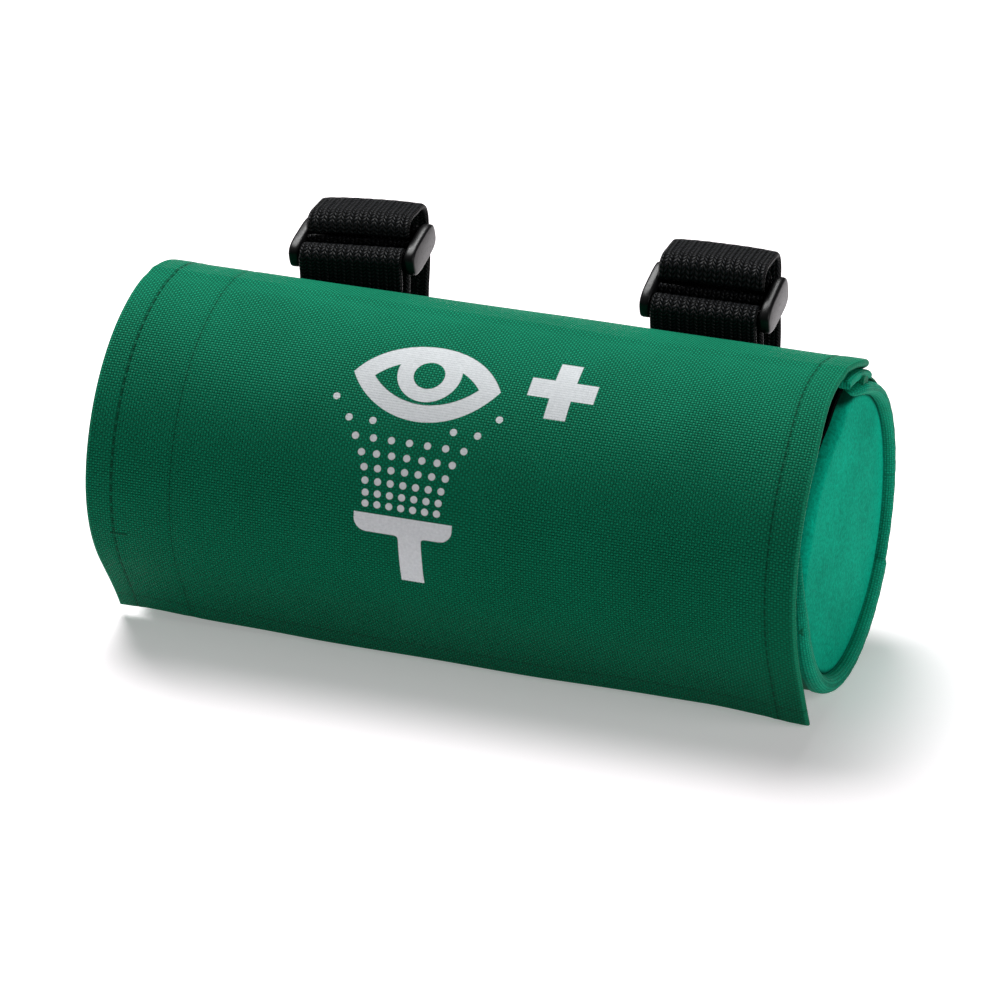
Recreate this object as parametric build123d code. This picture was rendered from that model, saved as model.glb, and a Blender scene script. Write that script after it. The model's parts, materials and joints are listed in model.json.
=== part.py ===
from build123d import *
import math
import os

# Belt pouch for an eyewash bottle. While modelling, the pouch's axis is X through (0, 0), +Y is the
# back, which hangs on the belt, and +Z is up. Angles about the axis start at the back and rise over
# the top: back 0, top 90, front 180, underside 270. All sizes are in millimetres.

# pouch body: a padded wall wrapped round the bottle, open from the top edge to the front edge
bottle_room = 7.2
cover_cloth = 0.8
wall_foam = 3.1
lining_cloth = 0.8
top_edge_angle = 75.0
front_edge_angle = 190.0
edge_binding_angle = 2.0
rest_flat_depth = 0.4

# padded end panels and the rolled rims round them
rim_height = 2.4
end_recess = 0.6
end_foam = 3.0
end_lip_clearance = 0.7
end_lip_inset_angle = 1.5
corner_tab_width = 12.0
corner_tab_height = 1.5
corner_tab_length = 3.4

# flap: four stiff sections of one cloth, hinged where it bends
flap_left_overhang = 3.0
flap_right_setback = 5.0
flap_gap = 1.6
flap_lining = 0.6
flap_foam = 1.0
flap_cloth = 0.8
flap_root_angle = 57.0
flap_hinge_angles = [80.0, 118.0, 156.0, 192.0]
flap_straight_angle = 208.0
flap_tail_length = 19.5
section_gap = 0.3

# hook and loop fastener along the front edge
fastener_thickness = 0.6
fastener_clearance = 0.3
fastener_length = 70.0
fastener_gap = 14.0
fastener_start_angle = 193.5
fastener_end_angle = 206.5

# belt loops: webbing, short tab and ladder-lock buckle
loop_pitch = 95.0
loop_shift = -2.0
web_width = 30.0
web_thickness = 1.6
web_seat_angle = -28.0
loop_height = 9.0
loop_back_clearance = 2.7
loop_corner = 3.6
loop_split_drop = 5.4
split_gap = 0.8
tab_foot_start = 38.0
tab_layer_gap = 0.2
bar_radius = 1.7
bar_clearance = 0.3
front_bar_angle = 59.2
front_bar_height = 5.8
buckle_rise = 10.0
back_bar_pitch = 5.6
rail_width = 2.5
rail_height = 5.2
rail_overhang = 2.3
rail_side_clearance = 0.3
rail_rounding = 2.0
tail_height = 5.0

# bottle, lying along the pouch
bottle_radius = 28.0
bottle_wall = 1.2
bottle_clearance = 0.3
bottle_end_clearance = 0.9
barrel_length = 112.0
base_rounding = 4.0
shoulder_length = 14.0
neck_radius = 16.0
neck_length = 14.0
neck_wall = 1.6
seal_thickness = 0.5
label_length = 74.0
label_thickness = 0.25
label_start = 16.0

# eye cup and its dust cap
collar_wall = 2.4
collar_lip = 1.6
thread_clearance = 0.1
cup_depth = 26.2
cup_inset = 2.4
cup_wall = 1.6
nozzle_radius = 11.0
nozzle_thickness = 3.0
jet_radius = 0.7
jet_circle = 7.0
jet_count = 8
cap_clearance = 0.3
cap_wall = 1.4
cap_skirt = 6.5
cap_rounding = 1.0
cap_rib_count = 24
cap_rib_radius = 0.6

# places worked out from the sizes above: the pouch is cut to fit the bottle
bottle_body = barrel_length + shoulder_length + neck_length + seal_thickness
bottle_length = bottle_body + collar_lip + cup_depth + cap_clearance + cap_wall
inner_end = bottle_length / 2 + bottle_end_clearance
wall_end = inner_end + lining_cloth + end_foam + cover_cloth + end_recess
wall_thickness = cover_cloth + wall_foam + lining_cloth
wall_inner = bottle_radius + bottle_room
body_radius = wall_inner + wall_thickness
floor_z = rest_flat_depth - body_radius
flap_inner = body_radius + flap_gap
flap_outer = flap_inner + flap_lining + flap_foam + flap_cloth
flap_left = -wall_end - rim_height - flap_left_overhang
flap_right = wall_end + rim_height - flap_right_setback
web_centre = body_radius + web_thickness / 2
bar_wrap = bar_radius + bar_clearance + web_thickness / 2
mid_bar_pitch = 2 * bar_wrap + web_thickness + tab_layer_gap
loop_top = flap_outer + loop_height
cup_radius = bottle_radius - cup_inset
bottle_z = bottle_radius + bottle_clearance - wall_inner
bottle_left = -bottle_length / 2
cap_right = bottle_length / 2


def polar(radius, angle):
    turn = math.radians(angle)
    return (radius * math.cos(turn), radius * math.sin(turn))


def along_x(sketch, left, right):
    return extrude(Plane.YZ.offset(left) * sketch, right - left)


def shell_sector(inner, outer, start, end, left, right):
    """A strip of a tube round the pouch's axis, between two angles and two stations along X."""
    outside = CenterArc((0, 0), outer, start, end - start)
    inside = CenterArc((0, 0), inner, start, end - start)
    sides = [Line(outside @ 0, inside @ 0), Line(outside @ 1, inside @ 1)]
    return along_x(make_face([outside, inside, *sides]), left, right)


def turned(points, z=0.0):
    """A solid turned about the X axis from (x, radius) points, moved to height z."""
    profile = make_face(Polyline(*points, close=True))
    return Pos(0, 0, z) * revolve(profile, Axis.X)


def flattened(solid):
    """The solid with its underside cut flat where the pouch rests."""
    align = (Align.CENTER, Align.CENTER, Align.MAX)
    slab = Box(4 * wall_end, 2 * body_radius, body_radius, align=align)
    return solid - Pos(0, 0, floor_z) * slab


# ---------------------------------------------------------------- pouch wall and ends
def pouch_wall(parts):
    start = front_edge_angle + edge_binding_angle - 360
    end = top_edge_angle - edge_binding_angle
    lining_outer = wall_inner + lining_cloth
    foam_outer = lining_outer + wall_foam
    cover = shell_sector(foam_outer, body_radius, start, end, -wall_end, wall_end)
    parts["body_cover"] = flattened(cover)
    parts["body_padding"] = shell_sector(lining_outer, foam_outer, start, end, -wall_end, wall_end)
    parts["body_lining"] = shell_sector(wall_inner, lining_outer, start, end, -wall_end, wall_end)
    front = front_edge_angle
    bound = shell_sector(wall_inner, body_radius, front, front + edge_binding_angle, -wall_end, wall_end)
    parts["front_edge_binding"] = bound
    top = top_edge_angle
    bound = shell_sector(wall_inner, body_radius, top - edge_binding_angle, top, -wall_end, wall_end)
    parts["top_edge_binding"] = bound


def end_panel_layer(depth, thickness, side):
    """One layer of an end panel: a disc inside the wall, with a lip that fills the open side."""
    face = wall_end - end_recess - depth
    low = -face if side < 0 else face - thickness
    disc = along_x(Circle(wall_inner), low, low + thickness)
    lip_start = top_edge_angle + end_lip_inset_angle
    lip_end = front_edge_angle - end_lip_inset_angle
    lip_outer = body_radius - end_lip_clearance
    return disc + shell_sector(wall_inner - 1, lip_outer, lip_start, lip_end, low, low + thickness)


def rim(side):
    """The rolled edge of the wall: half an ellipse in section, swept round the closed side."""
    middle = body_radius - wall_thickness / 2
    roll = Ellipse(rim_height, wall_thickness / 2)
    keep = Rectangle(rim_height, wall_thickness, align=(Align.MIN, Align.CENTER))
    section = Pos(0, middle) * (roll & keep)
    swept = 360 - (front_edge_angle - top_edge_angle)
    ring = Rot(top_edge_angle, 0, 0) * revolve(section, Axis.X, -swept)
    if side < 0:
        ring = mirror(ring, Plane.YZ)
    return flattened(Pos(side * wall_end, 0, 0) * ring)


def pouch_ends(parts):
    for name, side in (("left", -1), ("right", 1)):
        parts[f"{name}_end_cover"] = end_panel_layer(0, cover_cloth, side)
        parts[f"{name}_end_padding"] = end_panel_layer(cover_cloth, end_foam, side)
        parts[f"{name}_end_lining"] = end_panel_layer(cover_cloth + end_foam, lining_cloth, side)
        parts[f"{name}_rim"] = rim(side)


# ---------------------------------------------------------------- flap
def flap_layers():
    """Name, inner radius and outer radius of the flap's layers."""
    lining_outer = flap_inner + flap_lining
    foam_outer = lining_outer + flap_foam
    return [
        ("lining", flap_inner, lining_outer),
        ("padding", lining_outer, foam_outer),
        ("cover", foam_outer, flap_outer),
    ]


def flap_tail(inner, outer):
    """The straight lower end of a layer, leaving the round part on its tangent."""
    low = polar(inner, flap_straight_angle)
    high = polar(outer, flap_straight_angle)
    run = polar(flap_tail_length, flap_straight_angle + 90)
    corners = [low, high, (high[0] + run[0], high[1] + run[1]), (low[0] + run[0], low[1] + run[1])]
    return along_x(make_face(Polyline(*corners, close=True)), flap_left, flap_right)


def flap(parts):
    half_gap = math.degrees(section_gap / 2 / flap_outer)
    bends = flap_hinge_angles + [flap_straight_angle + half_gap]
    for index in range(len(flap_hinge_angles)):
        start = bends[index] + half_gap
        end = bends[index + 1] - half_gap
        for layer, inner, outer in flap_layers():
            section = shell_sector(inner, outer, start, end, flap_left, flap_right)
            if index == len(flap_hinge_angles) - 1:
                section = section + flap_tail(inner, outer)
            parts[f"flap_{layer}_{index + 1}"] = section
    root_end = flap_hinge_angles[0] - half_gap
    seam_outer = flap_outer - flap_cloth
    root = shell_sector(seam_outer, flap_outer, flap_root_angle, root_end, flap_left, flap_right)
    parts["flap_root_cover"] = root
    seam = shell_sector(body_radius, seam_outer, flap_root_angle, root_end, -wall_end, flap_right)
    parts["flap_root_seam"] = seam


def fastener(parts):
    loop_outer = body_radius + fastener_thickness
    hook_inner = loop_outer + fastener_clearance
    flap_middle = (flap_left + flap_right) / 2
    for name, side in (("left", -1), ("right", 1)):
        near = flap_middle + side * fastener_gap / 2
        far = near + side * fastener_length
        left, right = min(near, far), max(near, far)
        span = (fastener_start_angle, fastener_end_angle, left, right)
        parts[f"{name}_loop_strip"] = shell_sector(body_radius, loop_outer, *span)
        parts[f"{name}_hook_strip"] = shell_sector(hook_inner, flap_inner, *span)


def corner_tab(parts):
    """The folded end of the rim's tape, tucked beside the flap at the upper right corner."""
    width = math.degrees(corner_tab_width / body_radius)
    start = top_edge_angle - width
    left = flap_right + section_gap
    outer = body_radius + corner_tab_height
    right = min(left + corner_tab_length, wall_end)
    parts["rim_tape_end"] = shell_sector(body_radius, outer, start, top_edge_angle, left, right)


# ---------------------------------------------------------------- belt loops
def web(path, middle, name, parts):
    band = trace(path, web_thickness)
    parts[name] = along_x(band, middle - web_width / 2, middle + web_width / 2)


front_bar = polar(flap_outer + front_bar_height, front_bar_angle)


def bar_centre(distance):
    """A place along the buckle, measured from its front bar."""
    run = polar(distance, buckle_rise)
    return (front_bar[0] + run[0], front_bar[1] + run[1])


def loop_web_path(front_y):
    """Seat on the pouch's back, up the back, over the top and down to the buckle."""
    seat = CenterArc((0, 0), web_centre, web_seat_angle, -web_seat_angle)
    top = loop_top - web_thickness / 2
    buckle_back = bar_centre(mid_bar_pitch + back_bar_pitch + rail_overhang)[0]
    back_top = (buckle_back + loop_back_clearance + web_thickness / 2, top)
    corners = [seat @ 1, back_top, (front_y, top), (front_y, loop_top - loop_split_drop)]
    return seat + FilletPolyline(*corners, radius=loop_corner)


def tab_path():
    """A foot on the pouch, up the back of the front bar, over it and down its front to the pouch."""
    bar_y, bar_z = front_bar
    rear_y = bar_y + bar_wrap
    front_y = bar_y - bar_wrap
    foot_end = math.degrees(math.acos(rear_y / web_centre))
    foot = CenterArc((0, 0), web_centre, tab_foot_start, foot_end - tab_foot_start)
    rear = Line(foot @ 1, (rear_y, bar_z))
    hood = CenterArc(front_bar, bar_wrap, 0, 180)
    front_low = math.sqrt(flap_outer ** 2 - (front_y - web_thickness / 2) ** 2) + bar_clearance
    front = Line(hood @ 1, (front_y, front_low))
    return foot + rear + hood + front


def buckle(middle):
    """A ladder-lock: two side rails and three cross bars, turned to lie along its rise."""
    reach = mid_bar_pitch + back_bar_pitch + 2 * rail_overhang
    outline = RectangleRounded(reach, rail_height, rail_rounding)
    place = Pos(*bar_centre(reach / 2 - rail_overhang)) * Rot(0, 0, buckle_rise)
    inside = web_width / 2 + rail_side_clearance
    body = None
    for side in (-1, 1):
        near = middle + side * inside
        far = near + side * rail_width
        rail = along_x(place * outline, min(near, far), max(near, far))
        body = rail if body is None else body + rail
    for distance in (0, mid_bar_pitch, mid_bar_pitch + back_bar_pitch):
        bar = Pos(*bar_centre(distance)) * Circle(bar_radius)
        body = body + along_x(bar, middle - inside - 1, middle + inside + 1)
    return body


def belt_loop(parts, name, middle):
    mid_bar = bar_centre(mid_bar_pitch)
    front_y = mid_bar[0] - bar_wrap
    web(loop_web_path(front_y), middle, f"{name}_loop_web", parts)
    down = Line((front_y, loop_top - loop_split_drop - split_gap), (front_y, mid_bar[1]))
    under = CenterArc(mid_bar, bar_wrap, 180, 180)
    tail = Line((mid_bar[0] + bar_wrap, mid_bar[1]), (mid_bar[0] + bar_wrap, mid_bar[1] + tail_height))
    web(down + under + tail, middle, f"{name}_loop_web_end", parts)
    web(tab_path(), middle, f"{name}_loop_tab", parts)
    parts[f"{name}_buckle"] = buckle(middle)


# ---------------------------------------------------------------- bottle
def bottle(parts):
    base = bottle_left
    barrel_end = base + barrel_length
    neck_start = barrel_end + shoulder_length
    mouth = neck_start + neck_length
    bore = neck_radius - neck_wall
    inner = bottle_radius - bottle_wall
    outside = [
        (base, 0),
        (base, bottle_radius - base_rounding),
        (base + base_rounding, bottle_radius),
        (barrel_end, bottle_radius),
        (neck_start, neck_radius),
        (mouth, neck_radius),
        (mouth, bore),
    ]
    cavity = [
        (neck_start, bore),
        (barrel_end - bottle_wall / 2, inner),
        (base + base_rounding, inner),
        (base + bottle_wall, bottle_radius - base_rounding - bottle_wall / 2),
        (base + bottle_wall, 0),
    ]
    parts["bottle_shell"] = turned(outside + cavity, bottle_z)
    fluid = [(mouth, 0), (mouth, bore)] + cavity
    parts["eyewash_fluid"] = turned(fluid, bottle_z)
    seal_end = mouth + seal_thickness
    seal = [(mouth, 0), (mouth, neck_radius), (seal_end, neck_radius), (seal_end, 0)]
    parts["mouth_seal"] = turned(seal, bottle_z)
    label_left = base + label_start
    label_outer = bottle_radius + label_thickness
    label = [
        (label_left, bottle_radius),
        (label_left, label_outer),
        (label_left + label_length, label_outer),
        (label_left + label_length, bottle_radius),
    ]
    parts["blank_label"] = turned(label, bottle_z)
    return neck_start, seal_end


def eye_cup(parts, neck_start, seal_end):
    """A screw collar on the neck that carries the cup; the jets stand in the collar's floor."""
    thread = neck_radius + thread_clearance
    collar_left = neck_start + 1
    floor_right = seal_end + collar_lip
    collar_outer = thread + collar_wall
    cup_rim = floor_right + cup_depth
    cup = [
        (collar_left, thread),
        (collar_left, collar_outer),
        (floor_right, collar_outer),
        (cup_rim - cup_depth / 3, cup_radius - 1),
        (cup_rim, cup_radius),
        (cup_rim, cup_radius - cup_wall),
        (cup_rim - cup_depth / 3, cup_radius - 1 - cup_wall),
        (floor_right, collar_outer - cup_wall),
        (floor_right, nozzle_radius),
        (seal_end, nozzle_radius),
        (seal_end, thread),
    ]
    parts["eye_cup"] = turned(cup, bottle_z)
    plate_right = seal_end + nozzle_thickness
    plate = turned([(seal_end, 0), (seal_end, nozzle_radius), (plate_right, nozzle_radius), (plate_right, 0)])
    for index in range(jet_count):
        place = Pos(*polar(jet_circle, 360 * index / jet_count)) * Circle(jet_radius)
        plate = plate - along_x(place, seal_end - 1, plate_right + 1)
    parts["spray_nozzle"] = Pos(0, 0, bottle_z) * plate
    skirt_inner = cup_radius + cap_clearance
    skirt_outer = skirt_inner + cap_wall
    lid_left = cap_right - cap_wall
    cap = [
        (lid_left - cap_skirt, skirt_inner),
        (lid_left - cap_skirt, skirt_outer),
        (cap_right - cap_rounding, skirt_outer),
        (cap_right, skirt_outer - cap_rounding),
        (cap_right, 0),
        (lid_left, 0),
        (lid_left, skirt_inner),
    ]
    lid = turned(cap)
    for index in range(cap_rib_count):
        rib = Pos(*polar(skirt_outer, 360 * index / cap_rib_count)) * Circle(cap_rib_radius)
        lid = lid + along_x(rib, lid_left - cap_skirt, cap_right - cap_rounding)
    parts["dust_cap"] = Pos(0, 0, bottle_z) * lid


def build():
    parts = {}
    pouch_wall(parts)
    pouch_ends(parts)
    flap(parts)
    fastener(parts)
    corner_tab(parts)
    belt_loop(parts, "left", loop_shift - loop_pitch / 2)
    belt_loop(parts, "right", loop_shift + loop_pitch / 2)
    neck_start, seal_end = bottle(parts)
    eye_cup(parts, neck_start, seal_end)
    return parts


parts = build()
# the origin goes under the middle of the whole object, on the surface that it rests on
boxes = [shape.bounding_box() for shape in parts.values()]
low = [min(tuple(box.min)[axis] for box in boxes) for axis in range(3)]
high = [max(tuple(box.max)[axis] for box in boxes) for axis in range(3)]
place = Pos(-(low[0] + high[0]) / 2, -(low[1] + high[1]) / 2, -low[2])
os.makedirs("parts", exist_ok=True)
for name, shape in parts.items():
    export_step(place * shape, f"parts/{name}.step")
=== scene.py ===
import json
import math

import bmesh
import bpy
import numpy as np
from mathutils import Matrix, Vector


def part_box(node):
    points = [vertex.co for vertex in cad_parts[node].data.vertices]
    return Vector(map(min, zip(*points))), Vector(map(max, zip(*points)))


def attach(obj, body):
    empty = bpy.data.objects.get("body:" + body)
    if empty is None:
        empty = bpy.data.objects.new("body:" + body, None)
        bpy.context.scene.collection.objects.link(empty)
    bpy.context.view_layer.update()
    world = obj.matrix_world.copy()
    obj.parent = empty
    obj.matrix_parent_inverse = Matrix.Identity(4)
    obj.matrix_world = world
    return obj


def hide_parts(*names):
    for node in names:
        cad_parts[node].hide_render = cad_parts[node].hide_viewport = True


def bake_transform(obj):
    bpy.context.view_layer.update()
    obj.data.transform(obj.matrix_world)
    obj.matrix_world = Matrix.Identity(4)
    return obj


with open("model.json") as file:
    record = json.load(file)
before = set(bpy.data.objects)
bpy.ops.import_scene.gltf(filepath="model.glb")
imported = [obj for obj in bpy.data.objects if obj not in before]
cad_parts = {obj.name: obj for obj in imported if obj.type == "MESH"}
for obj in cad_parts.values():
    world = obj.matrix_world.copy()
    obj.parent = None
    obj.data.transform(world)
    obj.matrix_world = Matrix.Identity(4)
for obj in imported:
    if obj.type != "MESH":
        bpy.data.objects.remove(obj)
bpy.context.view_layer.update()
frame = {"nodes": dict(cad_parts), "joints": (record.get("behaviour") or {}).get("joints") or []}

# All shape work is in millimetres round the pouch's axis. place() turns it into metres in the frame.
mm = 0.001
hinges = {j["name"]: np.array(j["pos_m"]) for j in frame["joints"] if "pos_m" in j}
wrapRadius = 43.9        # outside of the flap's round part
hingeAngles = {"flap_open": 80.0, "flap_bend_upper": 118.0, "flap_bend_middle": 156.0, "flap_bend_lower": 192.0}


def turn(angle):
    # Cosine and sine of an angle in degrees. 0 is the back, 90 the top, 180 the front, 270 the underside.
    return np.cos(np.radians(angle)), np.sin(np.radians(angle))


def nodeBox(name):
    # Lowest and highest corner of a CAD node, as arrays in millimetres.
    low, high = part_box(name)
    return np.array(low) / mm, np.array(high) / mm


firstHinge = hinges["flap_open"] / mm
axisY = firstHinge[1] - wrapRadius * turn(hingeAngles["flap_open"])[0]
axisZ = firstHinge[2] - wrapRadius * turn(hingeAngles["flap_open"])[1]
wallLow, wallHigh = nodeBox("body_lining")
middleX = (wallLow[0] + wallHigh[0]) / 2
floorZ = -axisZ          # the floor's height, seen from the pouch's axis


def place(x, y, z):
    # Millimetres from the pouch's axis and middle, as points in the frame in metres.
    x, y, z = np.broadcast_arrays(x, y, z)
    return np.stack([x + middleX, y + axisY, z + axisZ], -1) * mm


def smooth(value, low, high):
    # 0 at low and 1 at high, flat beyond them, and an S curve between them. low may be above high.
    t = np.clip((value - low) / (high - low), 0, 1)
    return t * t * (3 - 2 * t)


# materials

class Wire:
    # A socket that can be used in arithmetic. Each operation adds its Math node.

    def __init__(self, paint, socket):
        self.paint, self.socket = paint, socket

    def math(self, operation, *others, **settings):
        return self.paint.node("ShaderNodeMath", {"operation": operation, **settings}, [self, *others])

    def __add__(self, other): return self.math("ADD", other)
    def __radd__(self, other): return self.paint.value("ADD", other, self)
    def __sub__(self, other): return self.math("SUBTRACT", other)
    def __rsub__(self, other): return self.paint.value("SUBTRACT", other, self)
    def __mul__(self, other): return self.math("MULTIPLY", other)
    def __rmul__(self, other): return self.paint.value("MULTIPLY", other, self)
    def __truediv__(self, other): return self.math("DIVIDE", other)
    def __rtruediv__(self, other): return self.paint.value("DIVIDE", other, self)
    def __pow__(self, other): return self.math("POWER", other)
    def __neg__(self): return self.math("MULTIPLY", -1)
    def __abs__(self): return self.math("ABSOLUTE")
    def sin(self): return self.math("SINE")
    def sqrt(self): return self.math("SQRT")
    def round(self): return self.math("ROUND")
    def wrap(self): return self.math("FRACT")
    def least(self, other): return self.math("MINIMUM", other)
    def most(self, other): return self.math("MAXIMUM", other)
    def clip(self): return self.math("MULTIPLY", 1, use_clamp=True)

    def ramp(self, low, high):
        # 0 at low, 1 at high, an S curve between them. low may be above high.
        return self.paint.node("ShaderNodeMapRange", {"interpolation_type": "SMOOTHSTEP"},
                               {"Value": self, "From Min": low, "From Max": high})

    def length(self, other):
        # Distance from the origin of the point (self, other).
        return (self * self + other * other).sqrt()


class Paint:
    # One material and the node tree behind it.

    def __init__(self, name):
        self.material = bpy.data.materials.new(name)
        self.material.use_nodes = True
        self.tree = self.material.node_tree
        self.tree.nodes.clear()

    def node(self, kind, settings=None, inputs=None, output=0):
        made = self.tree.nodes.new(kind)
        for key, item in (settings or {}).items():
            setattr(made, key, item)
        named = inputs.items() if isinstance(inputs, dict) else enumerate(inputs or [])
        for key, item in named:
            if isinstance(item, Wire):
                self.tree.links.new(item.socket, made.inputs[key])
            elif item is not None:
                target = made.inputs[key]
                if isinstance(item, tuple) and len(item) == 3 and len(target.default_value) == 4:
                    item = (*item, 1)
                target.default_value = item
        return Wire(self, made.outputs[output]) if len(made.outputs) else None

    def value(self, operation, *values):
        return self.node("ShaderNodeMath", {"operation": operation}, list(values))

    def mix(self, factor, first, second):
        # Colour first where factor is 0, second where it is 1. Sockets 6 and 7 are the colour pair.
        return self.node("ShaderNodeMix", {"data_type": "RGBA", "clamp_factor": True},
                         {0: factor, 6: first, 7: second}, output=2)

    def noise(self, vector, scale, detail=2.0, roughness=0.5):
        return self.node("ShaderNodeTexNoise", {"noise_dimensions": "3D"},
                         {"Vector": vector, "Scale": scale, "Detail": detail, "Roughness": roughness})

    def attribute(self, name):
        # The piece's own surface place: X and Y in millimetres along the cloth, Z its side.
        vector = self.node("ShaderNodeAttribute", {"attribute_name": name}, output=1)
        return vector, *(self.node("ShaderNodeSeparateXYZ", None, [vector], output=i) for i in range(3))

    def objectPlace(self):
        # The piece's place in the frame, in millimetres.
        raw = self.node("ShaderNodeTexCoord", output=3)
        return self.node("ShaderNodeVectorMath", {"operation": "SCALE"}, {0: raw, "Scale": 1 / mm})

    def finish(self, colour, roughness, height=None, strength=0.5, distance=0.0002, **fixed):
        # The Principled shader, with a Bump node where a height is given, and its fixed socket values.
        inputs = {"Base Color": colour, "Roughness": roughness}
        if height is not None:
            inputs["Normal"] = self.node("ShaderNodeBump", None,
                                         {"Strength": strength, "Distance": distance, "Height": height})
        for key, item in fixed.items():
            inputs[key.replace("_", " ")] = item
        shader = self.node("ShaderNodeBsdfPrincipled", None, inputs)
        self.node("ShaderNodeOutputMaterial", None, [shader])
        return self.material


def weave(along, across, pitch):
    # A plain weave: domes on a chequered grid of threads. The second result tells warp cells from weft cells.
    wave = (along * (math.pi / pitch)).sin() * (across * (math.pi / pitch)).sin()
    return abs(wave) ** 0.5, wave.ramp(-0.35, 0.35)


def stitchRow(paint, distance, along, step, gap, width):
    # A row of stitches: distance is measured from the row, along runs with it. Gives thread, and the sunk seam.
    phase = (along / step).wrap()
    middle = abs(phase - 0.5)
    dash = middle.ramp(0.5 - gap / step / 2 + 0.04, 0.5 - gap / step / 2 - 0.04)
    thread = abs(distance).ramp(width / 2 + 0.12, width / 2 - 0.1) * dash
    valley = abs(distance).ramp(width * 2.6, 0.1)
    return thread, valley


clothLook = {
    "threadPitch": 0.70,
    "deepGreen": (0.0004, 0.072, 0.033),
    "lightGreen": (0.0025, 0.215, 0.108),
    # topGreen and lowGreen paint the flap lighter at its top and darker low down, as painted light and shade
    "topGreen": (0.0090, 0.340, 0.185),
    "lowGreen": (0.0006, 0.178, 0.088),
    "stitchGreen": (0.0010, 0.050, 0.024),
    "wornGreen": (0.016, 0.300, 0.160),       # along the flap's rubbed edges
    "insideBlack": (0.006, 0.007, 0.007),
    "printGrey": (0.56, 0.59, 0.61),          # the print's darker specks
    "printWhite": (0.78, 0.81, 0.83),
    "bumpStrength": 0.9, "bumpDepth": 0.00036, "specular": 0.035,
}


def greenWeave(paint, along, across, vector, light=None):
    # Base colour, roughness and height of the coarse green cloth, before seams and print: painted shade, deep green,
    # in the hollows between the weave's domes, painted light, light green, on their crests and warp cells, with yarn
    # noise and broad patches added.
    look = clothLook
    height, warp = weave(along, across, look["threadPitch"])
    yarn = paint.noise(vector, 1.9, 1.0)
    patch = paint.noise(vector, 0.045, 3.0)
    # painted shade in the hollows, painted light on the crests and warp cells
    shade = (height * 0.62 + warp * 0.42 + yarn * 0.30 + patch * 0.30 - 0.42).clip()
    colour = paint.mix(shade, look["deepGreen"], light or look["lightGreen"])
    bump = height * 0.8 + warp * 0.12 + yarn * 0.35
    roughness = 0.62 - height * 0.16 + yarn * 0.08
    return colour, roughness, bump


def clothFinish(paint, colour, roughness, bump):
    look = clothLook
    return paint.finish(colour, roughness, bump, look["bumpStrength"], look["bumpDepth"],
                        Specular_IOR_Level=look["specular"])


printLook = {
    "eyeX": -11.7, "eyeS": 33.1, "eyeHalfWidth": 19.3, "eyeHalfHeight": 11.2,
    "lensHalfWidth": 13.7, "lensHalfHeight": 6.3,
    "irisS": 30.6, "irisRadius": 8.3, "pupilS": 31.2, "pupilRadius": 4.0,
    "crossX": 22.9, "crossS": 29.9, "crossReach": 8.6, "crossArm": 2.8,
    "dotsX": -12.1, "dotRadius": 0.93, "dotRows": 6, "dotColumns": 3,    # columns to each side of the middle one
    "rowTop": 50.0, "rowStep": 4.0, "rowCloser": 0.14,                   # rows get closer towards the head
    "columnStep": 3.05, "columnMore": 1.7, "columnFade": 0.6,            # columns spread towards the eye
    "looseDots": ((21.4, 40.6), (16.9, 45.6), (10.6, 45.6)),
    "headX": -11.4, "headTop": 68.9, "headHalfWidth": 12.9, "headDepth": 4.9, "headCorner": 3.4, "headOver": 2.0,
    "stemX": -9.8, "stemHalfWidth": 3.0, "stemEnd": 86.4, "stemLean": 0.05, "joint": 1.6, "edge": 0.10,
}


def lens(x, s, halfWidth, halfHeight):
    # Signed distance from an eye outline: the shared part of two circles, one set above and one below.
    radius = (halfWidth ** 2 + halfHeight ** 2) / (2 * halfHeight)
    drop = radius - halfHeight
    return x.length(s + drop).most(x.length(s - drop)) - radius


def roundedBox(x, s, halfWidth, halfHeight, corner):
    # Signed distance from a rectangle with round corners.
    qx = abs(x) - (halfWidth - corner)
    qs = abs(s) - (halfHeight - corner)
    outside = qx.most(0.0).length(qs.most(0.0))
    return outside + qx.most(qs).least(0.0) - corner


def safetyPrint(paint, x, s):
    # How much printed ink is at x, s millimetres on the flap: an eye, a cross, drops and a shower head.
    p = printLook
    ex, es = x - p["eyeX"], s - p["eyeS"]
    outer = lens(ex, es, p["eyeHalfWidth"], p["eyeHalfHeight"])
    inner = lens(ex, es - 0.3, p["lensHalfWidth"], p["lensHalfHeight"])
    iris = ex.length(s - p["irisS"]) - p["irisRadius"]
    pupil = ex.length(s - p["pupilS"]) - p["pupilRadius"]
    ring = iris.most(-pupil)
    ink = outer.most(-inner).most(-pupil).least(ring.most(outer))
    cx, cs = abs(x - p["crossX"]), abs(s - p["crossS"])
    bar = (cx - p["crossReach"]).most(cs - p["crossArm"])
    post = (cx - p["crossArm"]).most(cs - p["crossReach"])
    ink = ink.least(bar).least(post)
    dx = x - p["dotsX"]
    for row in range(p["dotRows"]):
        spot = p["rowTop"] + p["rowStep"] * row - p["rowCloser"] * row * row
        step = p["columnStep"] + p["columnMore"] * math.exp(-p["columnFade"] * row)
        column = (dx / step).round().most(-p["dotColumns"]).least(p["dotColumns"])
        ink = ink.least((dx - column * step).length(s - spot) - p["dotRadius"])
    for reach, spot in p["looseDots"]:
        ink = ink.least((abs(dx) - reach).length(s - spot) - p["dotRadius"])
    over = p["headOver"]    # the head's box starts this much above its flat top, where it is cut off
    head = roundedBox(x - p["headX"], s - p["headTop"] - p["headDepth"] / 2 + over,
                      p["headHalfWidth"], p["headDepth"] / 2 + over, p["headCorner"])
    lean = (s - p["headTop"]) * p["stemLean"]
    stem = (abs(x - p["stemX"] - lean) - p["stemHalfWidth"]).most(s - p["stemEnd"]).most(p["headTop"] + 1.5 - s)
    joined = paint.node("ShaderNodeMath", {"operation": "SMOOTH_MIN"}, [head, stem, p["joint"]])
    joined = joined.most(p["headTop"] - s)
    return ink.least(joined).ramp(p["edge"], -p["edge"])


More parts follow.
